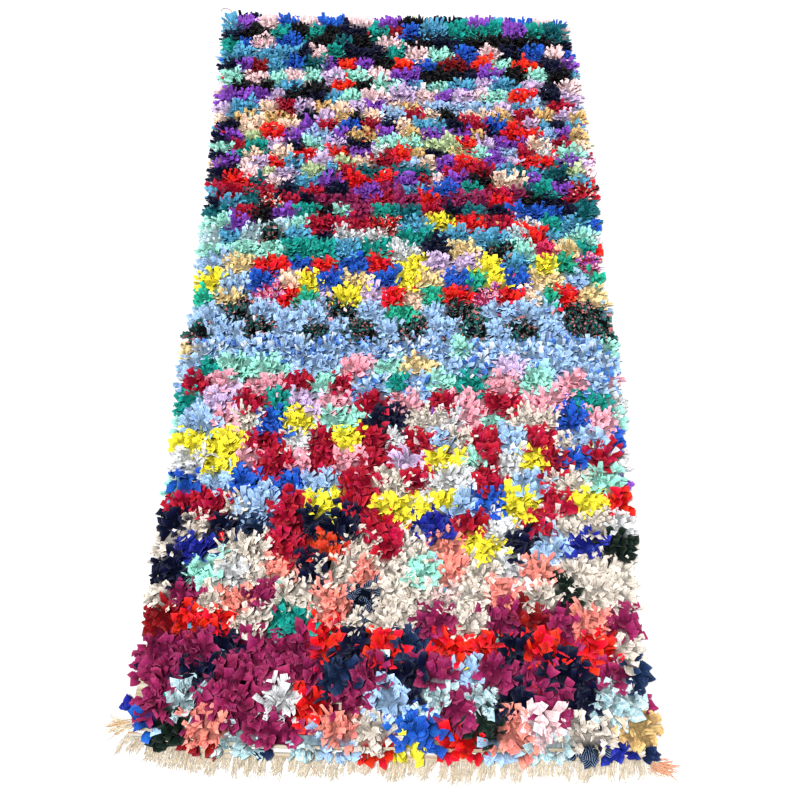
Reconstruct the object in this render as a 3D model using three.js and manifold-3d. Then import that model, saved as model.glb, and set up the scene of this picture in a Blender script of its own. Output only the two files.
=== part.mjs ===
// A boucherouite rag rug lying flat on a floor: a hand-woven ground that is thick with knotted
// rag tufts, and a bare woven heading at its near end that lets the warp ends out as a fringe.
// Millimetres, +Z up. X runs across the rug, Y along it, away from the fringe, and z = 0 is the floor.
import * as THREE from "three";
import { mergeVertices } from "three/addons/utils/BufferGeometryUtils.js";
import Module from "manifold-3d";

const wasm = await Module();
wasm.setup();

// Pile: the height of the clumps of tufts above the floor, and of the thin rim along the edges
const CLUMP_HEIGHT = 31;
const CLUMP_HEIGHT_SPREAD = 5;
const VALLEY_HEIGHT = 18;
const RIM_HEIGHT = 13;
const RIM_WIDTH = 42;

// Clumps: one colour of rag fills each, and they lie in staggered rows like loose bricks
const CLUMP_WIDTH = 86;
const CLUMP_DEPTH = 64;
const CLUMP_JITTER = 0.28;
const CLUMP_EDGE_DROP = 8;

// The slab's top is a net of points this many steps across and along
const STEPS_ACROSS = 36;
const STEPS_ALONG = 70;

// Rag locks: the tuft ends that reach out past the slab's rim, broad at the near end, fine at the far one
const LOCK_REACH = 22;
const LOCK_REACH_SPREAD = 13;
const LOCK_WIDTH_NEAR = 23;
const LOCK_WIDTH_FAR = 13;
const LOCK_WIDTH_SPREAD = 0.25;
const LOCK_TIP_SHARE = 0.6;
const LOCK_SLANT = 0.5;
const LOCK_TURN = 0.6;
const LOCK_THICKNESS = 3.5;
const LOCK_ROOT_INSIDE = 24;
const LOCK_ROOT_HEIGHT = 8;
const LOCK_STEPS = 2;
const SIDE_LOCK_PITCH = 46;
const END_LOCK_PITCH = 50;
const LOCK_PITCH_JITTER = 0.5;
const CORNER_CLEARANCE = 40;

// Heading and fringe: a bare band of weave, and warp ends gathered in small locks on the floor
const HEADING_DEPTH = 16;
const HEADING_THICKNESS = 4;
const PIECE_GAP = 0.3;
const FRINGE_PITCH = 9;
const FRINGE_LENGTH = 46;
const FRINGE_LENGTH_SPREAD = 10;
const FRINGE_RADIUS = 3;
const FRINGE_TIP_SHARE = 0.45;
const FRINGE_SIDES = 3;
const FRINGE_STEPS = 2;
const FRINGE_SWAY_SPREAD = 0.75;
const FRINGE_ROOT_INSIDE = 5;
const FRINGE_CORNER_WIDTH = 75;
const FRINGE_CORNER_SPLAY = 40;

// The fringe sways to one side and the other in waves along the end
const FRINGE_WAVES = [
  { length: 190, sway: 6 },
  { length: 83, sway: 3 },
];

// How far each selvedge lies from the middle line, at places along the rug
const SELVEDGES = [
  { along: -1150, left: -566, right: 540 },
  { along: -980, left: -550, right: 527 },
  { along: -850, left: -545, right: 523 },
  { along: -700, left: -546, right: 534 },
  { along: -560, left: -533, right: 543 },
  { along: -400, left: -540, right: 542 },
  { along: -230, left: -544, right: 557 },
  { along: -45, left: -528, right: 550 },
  { along: 150, left: -535, right: 542 },
  { along: 365, left: -529, right: 554 },
  { along: 590, left: -537, right: 550 },
  { along: 840, left: -540, right: 545 },
  { along: 1170, left: -552, right: 529 },
];

// How far the near and far ends reach, at places across the rug
const ENDS = [
  { across: -570, near: -1070, far: 1150 },
  { across: -440, near: -1102, far: 1136 },
  { across: -300, near: -1113, far: 1127 },
  { across: -150, near: -1119, far: 1122 },
  { across: 0, near: -1121, far: 1121 },
  { across: 170, near: -1125, far: 1120 },
  { across: 350, near: -1123, far: 1116 },
  { across: 560, near: -1121, far: 1106 },
];

// A repeatable number from 0 to 1 for a place in a row of like things.
function scatter(column, row, kind) {
  const wave = Math.sin(column * 127.1 + row * 311.7 + kind * 74.7) * 43758.5453;
  return wave - Math.floor(wave);
}

// The same, from -1 to 1.
function spread(column, row, kind) {
  return 2 * scatter(column, row, kind) - 1;
}

// A smooth curve through one column of a table, as a function of another column.
function curveThrough(table, from, to) {
  const places = table.map((row) => row[from]);
  const values = table.map((row) => row[to]);
  const curve = new THREE.CubicInterpolant(places, values, 1);
  const [first, last] = [places[0], places[places.length - 1]];
  return (place) => curve.evaluate(THREE.MathUtils.clamp(place, first, last))[0];
}

const leftSelvedge = curveThrough(SELVEDGES, "along", "left");
const rightSelvedge = curveThrough(SELVEDGES, "along", "right");
const nearEnd = curveThrough(ENDS, "across", "near");
const farEnd = curveThrough(ENDS, "across", "far");

// The point on the rug's plan at shares of the way across and along it.
function planPoint(acrossShare, alongShare) {
  const middle = THREE.MathUtils.lerp(nearEnd(0), farEnd(0), alongShare);
  const across = THREE.MathUtils.lerp(leftSelvedge(middle), rightSelvedge(middle), acrossShare);
  const along = THREE.MathUtils.lerp(nearEnd(across), farEnd(across), alongShare);
  return new THREE.Vector2(across, along);
}

// The middle and the height of one clump of tufts.
function clump(column, row) {
  const stagger = (Math.abs(row) % 2) / 2;
  return {
    across: (column + stagger + CLUMP_JITTER * spread(column, row, 1)) * CLUMP_WIDTH,
    along: (row + CLUMP_JITTER * spread(column, row, 2)) * CLUMP_DEPTH,
    height: CLUMP_HEIGHT + CLUMP_HEIGHT_SPREAD * spread(column, row, 3),
  };
}

// The pile's height over a place on the plan: the highest of the domes of the clumps around it.
function clumpedHeight(place) {
  const column = Math.round(place.x / CLUMP_WIDTH);
  const row = Math.round(place.y / CLUMP_DEPTH);
  let highest = VALLEY_HEIGHT;
  for (let r = row - 1; r <= row + 1; r += 1) {
    for (let c = column - 2; c <= column + 1; c += 1) {
      const { across, along, height } = clump(c, r);
      const aside = (place.x - across) / (CLUMP_WIDTH / 2);
      const ahead = (place.y - along) / (CLUMP_DEPTH / 2);
      highest = Math.max(highest, height - CLUMP_EDGE_DROP * (aside * aside + ahead * ahead));
    }
  }
  return highest;
}

// The pile's height with the rim rounded down towards the edges.
function pileHeight(place) {
  const inFromSide = Math.min(place.x - leftSelvedge(place.y), rightSelvedge(place.y) - place.x);
  const inFromEnd = Math.min(place.y - nearEnd(place.x), farEnd(place.x) - place.y);
  const inwards = THREE.MathUtils.clamp(Math.min(inFromSide, inFromEnd) / RIM_WIDTH, 0, 1);
  const roundness = Math.sqrt(1 - (1 - inwards) * (1 - inwards));
  return THREE.MathUtils.lerp(RIM_HEIGHT, clumpedHeight(place), roundness);
}

// A closed geometry as a solid that can be joined to others.
function toSolid(geometry) {
  const bare = geometry.clone();
  bare.deleteAttribute("normal");
  bare.deleteAttribute("uv");
  const merged = mergeVertices(bare, 1e-3);
  return new wasm.Manifold(
    new wasm.Mesh({
      numProp: 3,
      vertProperties: merged.attributes.position.array,
      triVerts: new Uint32Array(merged.index.array),
    }),
  );
}

function toGeometry(solid) {
  const { vertProperties, triVerts } = solid.getMesh();
  const geometry = new THREE.BufferGeometry();
  geometry.setAttribute("position", new THREE.BufferAttribute(vertProperties, 3));
  geometry.setIndex(new THREE.BufferAttribute(triVerts, 1));
  return geometry;
}

// Moves every point of a geometry by a function of where it was.
function reshape(geometry, move) {
  const { position } = geometry.attributes;
  const point = new THREE.Vector3();
  for (let i = 0; i < position.count; i += 1) {
    move(point.fromBufferAttribute(position, i));
    position.setXYZ(i, point.x, point.y, point.z);
  }
  return geometry;
}

// The slab: a lumpy top, a low wall round its rim and a flat underside on the floor.
function pileSlab() {
  const points = [];
  const faces = [];
  const rim = [];
  const columns = STEPS_ACROSS + 1;
  const topIndex = (i, j) => j * columns + i;
  for (let j = 0; j <= STEPS_ALONG; j += 1) {
    for (let i = 0; i <= STEPS_ACROSS; i += 1) {
      const place = planPoint(i / STEPS_ACROSS, j / STEPS_ALONG);
      points.push(place.x, place.y, pileHeight(place));
    }
  }
  for (let j = 0; j < STEPS_ALONG; j += 1) {
    for (let i = 0; i < STEPS_ACROSS; i += 1) {
      const corners = [topIndex(i, j), topIndex(i + 1, j), topIndex(i + 1, j + 1), topIndex(i, j + 1)];
      faces.push(corners[0], corners[1], corners[2], corners[0], corners[2], corners[3]);
    }
  }
  for (let i = 0; i < STEPS_ACROSS; i += 1) rim.push(topIndex(i, 0));
  for (let j = 0; j < STEPS_ALONG; j += 1) rim.push(topIndex(STEPS_ACROSS, j));
  for (let i = STEPS_ACROSS; i > 0; i -= 1) rim.push(topIndex(i, STEPS_ALONG));
  for (let j = STEPS_ALONG; j > 0; j -= 1) rim.push(topIndex(0, j));

  const firstBelow = points.length / 3;
  const footprint = rim.map((top) => new THREE.Vector2(points[3 * top], points[3 * top + 1]));
  footprint.forEach((place) => points.push(place.x, place.y, 0));
  rim.forEach((top, k) => {
    const next = (k + 1) % rim.length;
    faces.push(firstBelow + k, firstBelow + next, rim[next], firstBelow + k, rim[next], top);
  });
  THREE.ShapeUtils.triangulateShape(footprint, []).forEach(([a, b, c]) => {
    faces.push(firstBelow + a, firstBelow + c, firstBelow + b);
  });

  const geometry = new THREE.BufferGeometry();
  geometry.setAttribute("position", new THREE.Float32BufferAttribute(points, 3));
  geometry.setIndex(faces);
  return geometry;
}

// One rag lock: a flat strip that leaves the rim, droops by a given drop and narrows to a slanting cut.
function ragLock(root, heading, drop, number) {
  const length = LOCK_ROOT_INSIDE + LOCK_REACH + LOCK_REACH_SPREAD * spread(number, 5, 4);
  const wayAlong = THREE.MathUtils.smoothstep(root.y, nearEnd(0), farEnd(0));
  const broadness = THREE.MathUtils.lerp(LOCK_WIDTH_NEAR, LOCK_WIDTH_FAR, wayAlong);
  const width = broadness * (1 + LOCK_WIDTH_SPREAD * spread(number, 6, 5));
  const slant = LOCK_SLANT * spread(number, 7, 6);
  const strip = new THREE.BoxGeometry(length, width, LOCK_THICKNESS, LOCK_STEPS, 1, 1);
  strip.translate(length / 2, 0, 0);
  reshape(strip, (point) => {
    const share = point.x / length;
    point.x += slant * point.y * share * share;
    point.y *= 1 - (1 - LOCK_TIP_SHARE) * share;
    point.z += -drop * share * share;
  });
  strip.rotateZ(heading);
  strip.translate(root.x, root.y, root.z);
  return strip;
}

// Where the locks leave the rim: both selvedges, the far end, and over the heading at the near end.
function lockPlaces() {
  const places = [];
  const floorDrop = LOCK_ROOT_HEIGHT - LOCK_THICKNESS;
  const sides = [
    { selvedge: leftSelvedge, facing: Math.PI },
    { selvedge: rightSelvedge, facing: 0 },
  ];
  sides.forEach(({ selvedge, facing }, side) => {
    const first = nearEnd(selvedge(nearEnd(0))) + CORNER_CLEARANCE;
    const last = farEnd(selvedge(farEnd(0))) - CORNER_CLEARANCE;
    for (let k = 0; first + k * SIDE_LOCK_PITCH < last; k += 1) {
      const along = first + (k + LOCK_PITCH_JITTER * scatter(k, side, 6)) * SIDE_LOCK_PITCH;
      places.push({ x: selvedge(along), y: along, facing, drop: floorDrop });
    }
  });
  const leftmost = leftSelvedge(nearEnd(0)) + CORNER_CLEARANCE;
  const rightmost = rightSelvedge(nearEnd(0)) - CORNER_CLEARANCE;
  for (let k = 0; leftmost + k * END_LOCK_PITCH < rightmost; k += 1) {
    const across = leftmost + (k + LOCK_PITCH_JITTER * scatter(k, 2, 7)) * END_LOCK_PITCH;
    places.push({ x: across, y: farEnd(across), facing: Math.PI / 2, drop: floorDrop });
    places.push({ x: across, y: nearEnd(across), facing: -Math.PI / 2, drop: 0 });
  }
  return places;
}

function pileWithLocks() {
  let solid = toSolid(pileSlab());
  lockPlaces().forEach(({ x, y, facing, drop }, number) => {
    const heading = facing + LOCK_TURN * spread(number, 3, 8);
    const root = new THREE.Vector3(
      x - LOCK_ROOT_INSIDE * Math.cos(heading),
      y - LOCK_ROOT_INSIDE * Math.sin(heading),
      LOCK_ROOT_HEIGHT,
    );
    solid = solid.add(toSolid(ragLock(root, heading, drop, number)));
  });
  return toGeometry(solid);
}

// The heading: a flat band that follows the slab's near wall a hair's breadth away from it.
function headingBand() {
  const back = [];
  const front = [];
  for (let i = 0; i <= STEPS_ACROSS; i += 1) {
    const edge = planPoint(i / STEPS_ACROSS, 0);
    back.push(new THREE.Vector2(edge.x, edge.y - PIECE_GAP));
    front.unshift(new THREE.Vector2(edge.x, edge.y - PIECE_GAP - HEADING_DEPTH));
  }
  const outline = new THREE.Shape([...back, ...front].reverse());
  return new THREE.ExtrudeGeometry(outline, { depth: HEADING_THICKNESS, bevelEnabled: false });
}

// How far the locks next to the two corners fan outwards.
function cornerSplay(across) {
  const toLeft = 1 - (across - planPoint(0, 0).x) / FRINGE_CORNER_WIDTH;
  const toRight = 1 - (planPoint(1, 0).x - across) / FRINGE_CORNER_WIDTH;
  return FRINGE_CORNER_SPLAY * (Math.max(0, toRight) ** 2 - Math.max(0, toLeft) ** 2);
}

// One lock of warp ends: three-sided, with its flat side on the floor all the way to its tip.
function fringeLock(root, number) {
  const length = FRINGE_LENGTH + FRINGE_LENGTH_SPREAD * spread(number, 8, 9);
  const wave = FRINGE_WAVES.reduce((sum, w) => sum + w.sway * Math.sin((2 * Math.PI * root.x) / w.length), 0);
  const sway = wave + FRINGE_SWAY_SPREAD * spread(number, 9, 10) + cornerSplay(root.x);
  const lock = new THREE.CylinderGeometry(FRINGE_RADIUS, FRINGE_RADIUS, length, FRINGE_SIDES, FRINGE_STEPS);
  lock.translate(0, -length / 2, FRINGE_RADIUS / 2);
  return reshape(lock, (point) => {
    const share = -point.y / length;
    const narrowing = 1 - (1 - FRINGE_TIP_SHARE) * share;
    point.x = root.x + point.x * narrowing + sway * share * share;
    point.y += root.y;
    point.z *= narrowing;
  });
}

function headingWithFringe() {
  let solid = toSolid(headingBand());
  const left = planPoint(0, 0).x + FRINGE_PITCH;
  const right = planPoint(1, 0).x - FRINGE_PITCH;
  const count = Math.floor((right - left) / FRINGE_PITCH);
  for (let k = 0; k <= count; k += 1) {
    const across = left + k * FRINGE_PITCH;
    const along = nearEnd(across) - PIECE_GAP - HEADING_DEPTH + FRINGE_ROOT_INSIDE;
    solid = solid.add(toSolid(fringeLock(new THREE.Vector2(across, along), k)));
  }
  return toGeometry(solid);
}

function cloth(name, colour) {
  return new THREE.MeshStandardMaterial({ name, color: colour, roughness: 0.95, metalness: 0 });
}

const rug = new THREE.Group();
rug.name = "boucherouite_rug";

const pile = new THREE.Mesh(pileWithLocks(), cloth("mixed rags", 0x8f5a6c));
pile.name = "rag_pile";

const fringe = new THREE.Mesh(headingWithFringe(), cloth("undyed warp", 0xe3d5bd));
fringe.name = "warp_fringe";

rug.add(pile, fringe);

// The rug's own frame has its origin on the floor, under the middle of all it covers.
const middle = new THREE.Box3().setFromObject(rug).getCenter(new THREE.Vector3());
rug.children.forEach((piece) => piece.position.set(-middle.x, -middle.y, 0));

export default rug;
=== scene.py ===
# %% [markdown]
# # A boucherouite rug, tuft by tuft
# A boucherouite is a rag rug: worn clothes are torn into strips, and each strip is knotted into a
# woven ground so that both its ends stand up as pile. This lesson builds one with Blender and numpy.
# The solids of the rug come in first as a frame. They say how far the rug reaches and how high its
# pile stands, and every strip below is placed against them.

import bpy
import numpy as np
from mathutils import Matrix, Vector
from mathutils.bvhtree import BVHTree


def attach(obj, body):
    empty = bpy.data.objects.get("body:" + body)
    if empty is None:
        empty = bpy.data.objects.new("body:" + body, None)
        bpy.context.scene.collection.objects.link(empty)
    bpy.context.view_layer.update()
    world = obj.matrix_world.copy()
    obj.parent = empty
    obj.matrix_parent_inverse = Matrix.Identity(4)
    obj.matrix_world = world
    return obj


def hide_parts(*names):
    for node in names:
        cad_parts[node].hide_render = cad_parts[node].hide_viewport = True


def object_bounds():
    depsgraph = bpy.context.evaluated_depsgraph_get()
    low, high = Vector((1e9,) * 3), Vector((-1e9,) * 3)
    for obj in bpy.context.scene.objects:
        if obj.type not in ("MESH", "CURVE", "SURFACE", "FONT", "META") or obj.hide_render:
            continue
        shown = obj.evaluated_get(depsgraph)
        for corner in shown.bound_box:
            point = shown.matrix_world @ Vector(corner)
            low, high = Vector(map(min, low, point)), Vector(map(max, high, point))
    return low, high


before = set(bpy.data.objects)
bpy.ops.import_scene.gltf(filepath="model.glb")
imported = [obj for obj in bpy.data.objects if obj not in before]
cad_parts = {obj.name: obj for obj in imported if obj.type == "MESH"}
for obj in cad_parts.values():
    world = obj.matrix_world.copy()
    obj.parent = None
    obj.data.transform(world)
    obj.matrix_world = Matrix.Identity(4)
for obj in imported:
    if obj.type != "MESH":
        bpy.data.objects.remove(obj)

solid_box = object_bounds()
lot = np.random.default_rng(1968)
MM = 0.001
CM = 0.01
print("solids:", sorted(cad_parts), "box", [tuple(round(c, 3) for c in corner) for corner in solid_box])

# %% [markdown]
# ## The pile's height, read from the solid
# The solid of the pile is a lumpy slab with a flat underside. The points of its underside are its
# outline, as uneven as the real rug's, and rays dropped on its top give a map of the pile's height.
# Reading the solid keeps the strips on it wherever it is changed later.

# %% Read the outline
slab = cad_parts["rag_pile"]
corners = np.array([vertex.co for vertex in slab.data.vertices])
foot = np.unique(corners[corners[:, 2] < 1e-5][:, :2].round(5), axis=0)
foot = foot[np.argsort(np.arctan2(foot[:, 1], foot[:, 0]))]
square = foot / np.abs(foot).max(axis=0)
near_left = (-square[:, 0] - square[:, 1]).argmax()
near_right = (square[:, 0] - square[:, 1]).argmax()
far_right = (square[:, 0] + square[:, 1]).argmax()
far_left = (square[:, 1] - square[:, 0]).argmax()


def outline_run(start, stop, key):
    """The points of the outline from one corner to the next, in the order of one coordinate."""
    count = (stop - start) % len(foot) + 1
    run = foot[(start + np.arange(count)) % len(foot)]
    return run[np.argsort(run[:, key])]


near_run = outline_run(near_left, near_right, 0)
right_run = outline_run(near_right, far_right, 1)
far_run = outline_run(far_right, far_left, 0)
left_run = outline_run(far_left, near_left, 1)


def near_edge(across):
    return np.interp(across, near_run[:, 0], near_run[:, 1])


def far_edge(across):
    return np.interp(across, far_run[:, 0], far_run[:, 1])


def left_edge(along):
    return np.interp(along, left_run[:, 1], left_run[:, 0])


def right_edge(along):
    return np.interp(along, right_run[:, 1], right_run[:, 0])


def plan_place(across_share, along_share):
    """The place on the rug's plan at shares of the way across and along it."""
    middle = near_edge(0.0) + along_share * (far_edge(0.0) - near_edge(0.0))
    across = left_edge(middle) + across_share * (right_edge(middle) - left_edge(middle))
    along = near_edge(across) + along_share * (far_edge(across) - near_edge(across))
    return across, along


print("outline points:", [len(run) for run in (near_run, right_run, far_run, left_run)])

# %% Drop rays on the slab
NET_STEP = 8 * MM

slab_surface = BVHTree.FromObject(slab, bpy.context.evaluated_depsgraph_get())
net_across = np.arange(solid_box[0][0], solid_box[1][0], NET_STEP)
net_along = np.arange(solid_box[0][1], solid_box[1][1], NET_STEP)
height_map = np.zeros((len(net_along), len(net_across)))
for row, along in enumerate(net_along):
    for column, across in enumerate(net_across):
        hit = slab_surface.ray_cast(Vector((across, along, 1.0)), Vector((0.0, 0.0, -1.0)))[0]
        height_map[row, column] = hit.z if hit else 0.0
middling_height = np.median(height_map[height_map > 0])


def pile_height(across, along):
    column = np.clip(np.rint((across - net_across[0]) / NET_STEP).astype(int), 0, len(net_across) - 1)
    row = np.clip(np.rint((along - net_along[0]) / NET_STEP).astype(int), 0, len(net_along) - 1)
    return height_map[row, column]


print("the pile's middling height is %.0f mm" % (middling_height / MM))

# %% [markdown]
# ## The rags
# Each fabric is one worn garment or sheet: its colour, how narrowly it was torn, and its pattern if
# it has one. Narrow crinkled rags come from stiff shirting, broad ones from soft jersey and lining.
# The patterns are drawn later by nodes, from coordinates that run along each strip in millimetres.

# %% List the fabrics
FABRICS = {
    "scarlet": {"colour": "EE0A0C", "roughness": 0.75},
    "orange_red": {"colour": "FF2A0A"},
    "wine": {"colour": "962058", "roughness": 0.7},
    "crimson": {"colour": "B60C34"},
    "dark_red": {"colour": "8C0818"},
    "rust": {"colour": "D03C1E"},
    "navy": {"colour": "030B30"},
    "slate": {"colour": "1A3058"},
    "royal": {"colour": "1C2A9C", "roughness": 0.65},
    "cobalt": {"colour": "1E5CC8"},
    "steel": {"colour": "58AACE"},
    "teal": {"colour": "10A094"},
    "dark_teal": {"colour": "0C6C76"},
    "dark_green": {"colour": "0C2018"},
    "emerald": {"colour": "24B896"},
    "mint": {"colour": "A8ECDC"},
    "pale_green": {"colour": "C8DCA8"},
    "yellow": {"colour": "FFF23C"},
    "mustard": {"colour": "EAB030"},
    "tan": {"colour": "E6C080"},
    "butter": {"colour": "F4DAA0"},
    "peach": {"colour": "FFE0C8"},
    "salmon": {"colour": "F8988A", "narrow": 0.62},
    "pale_pink": {"colour": "FFDDE0"},
    "pink": {"colour": "F8B0C0"},
    "hot_pink": {"colour": "E83870"},
    "purple": {"colour": "8E4AC4"},
    "lilac": {"colour": "DCC4EA"},
    "denim": {"colour": "AACCF0"},
    "cream": {"colour": "E6DCD0", "narrow": 0.66},
    "white": {"colour": "E2E4E6", "narrow": 0.72},
    "black": {"colour": "06060C"},
    "ice": {"colour": "C4E2E8", "pattern": "squares", "others": ["A4CCD8", "DCEEF0"]},
    "pinstripe": {"colour": "08142E", "pattern": "stripes", "others": ["8CA6CC"]},
    "shirting": {"colour": "F0E6E0", "narrow": 0.7, "pattern": "stripes", "others": ["E05058"]},
    "speckle": {"colour": "0C1416", "pattern": "patches", "others": ["1C6A66", "0A3A3C", "10181A", "2A8078",
                "0C1A1E", "C87878"]},
    "red_print": {"colour": "B00C18", "pattern": "patches", "others": ["101018", "F01818", "EAE4DC"]},
    "pink_print": {"colour": "D83468", "pattern": "patches", "others": ["F294B0", "F6C8D4", "8A3CA0"]},
    "blue_mix": {"colour": "A4CAF0", "pattern": "strips", "others": ["3A74CC", "8CB6E8", "DCE4EC", "B4D2F0"]},
}
print(len(FABRICS), "fabrics")

# %% [markdown]
# ## Bands of colour
# The weaver used what was at hand, so the colours drift along the rug: leaf-like reds and wines near
# the fringe, then creams, then crimson with yellow and blue, a pale blue belt in the middle, and
# purples, blacks and pinks towards the far end. Each band lists its fabrics with the share of each.

# %% List the bands from the near end to the far end
BANDS = [
    {"upto": -1.02, "shares": {"ice": 5, "cream": 3, "denim": 2, "slate": 2, "salmon": 2, "dark_green": 2,
                               "navy": 1, "wine": 1, "peach": 1, "dark_red": 1, "pale_pink": 1}},
    {"upto": -0.86, "shares": {"wine": 8, "navy": 3, "slate": 2, "scarlet": 2, "ice": 1, "cream": 1}},
    {"upto": -0.74, "shares": {"cream": 7, "salmon": 3, "wine": 3, "rust": 1, "shirting": 1}},
    {"upto": -0.56, "shares": {"cream": 7, "white": 5, "salmon": 3, "navy": 1, "denim": 1, "crimson": 1}},
    {"upto": -0.24, "shares": {"white": 6, "crimson": 4, "denim": 2, "cream": 3, "cobalt": 1, "pink": 1,
                               "mint": 1}},
    {"upto": -0.17, "shares": {"teal": 3, "pink": 3, "mint": 3, "lilac": 2, "blue_mix": 2, "crimson": 1}},
    {"upto": -0.09, "shares": {"blue_mix": 10, "denim": 4, "mint": 1, "butter": 1}},
    {"upto": 0.02, "shares": {"denim": 8, "speckle": 7, "mint": 1, "emerald": 1}},
    {"upto": 0.19, "shares": {"butter": 3, "scarlet": 2, "cobalt": 3, "yellow": 1, "lilac": 2, "peach": 2,
                              "pink_print": 2, "steel": 1, "denim": 2, "emerald": 2, "white": 1}},
    {"upto": 0.29, "shares": {"ice": 4, "mint": 3, "white": 2, "speckle": 2, "steel": 2, "scarlet": 2,
                              "teal": 2, "hot_pink": 1, "navy": 1}},
    {"upto": 0.44, "shares": {"crimson": 5, "dark_teal": 3, "teal": 2, "navy": 3, "red_print": 2, "purple": 2,
                              "scarlet": 2, "steel": 2, "wine": 1, "black": 1, "cobalt": 1, "mint": 1}},
    {"upto": 0.52, "shares": {"steel": 2, "crimson": 3, "purple": 3, "pale_pink": 2, "dark_teal": 2,
                              "black": 2, "peach": 2, "lilac": 1, "scarlet": 2, "navy": 2, "pale_green": 1}},
    {"upto": 0.66, "shares": {"purple": 3, "navy": 3, "tan": 2, "peach": 3, "lilac": 2, "steel": 2, "teal": 1,
                              "crimson": 3, "denim": 2, "scarlet": 3, "pale_green": 1, "mint": 1}},
    {"upto": 0.76, "shares": {"lilac": 3, "tan": 4, "peach": 3, "steel": 3, "navy": 2, "crimson": 3,
                              "purple": 2, "denim": 2, "cobalt": 1}},
    {"upto": 0.92, "shares": {"steel": 4, "pale_pink": 3, "lilac": 4, "mint": 3, "black": 3, "purple": 2,
                              "orange_red": 1, "navy": 1}},
    {"upto": 1.50, "shares": {"black": 4, "teal": 5, "dark_teal": 2, "navy": 3, "cobalt": 3, "pale_pink": 3,
                              "purple": 2, "dark_red": 1, "steel": 1}},
]
print(len(BANDS), "bands")
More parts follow.
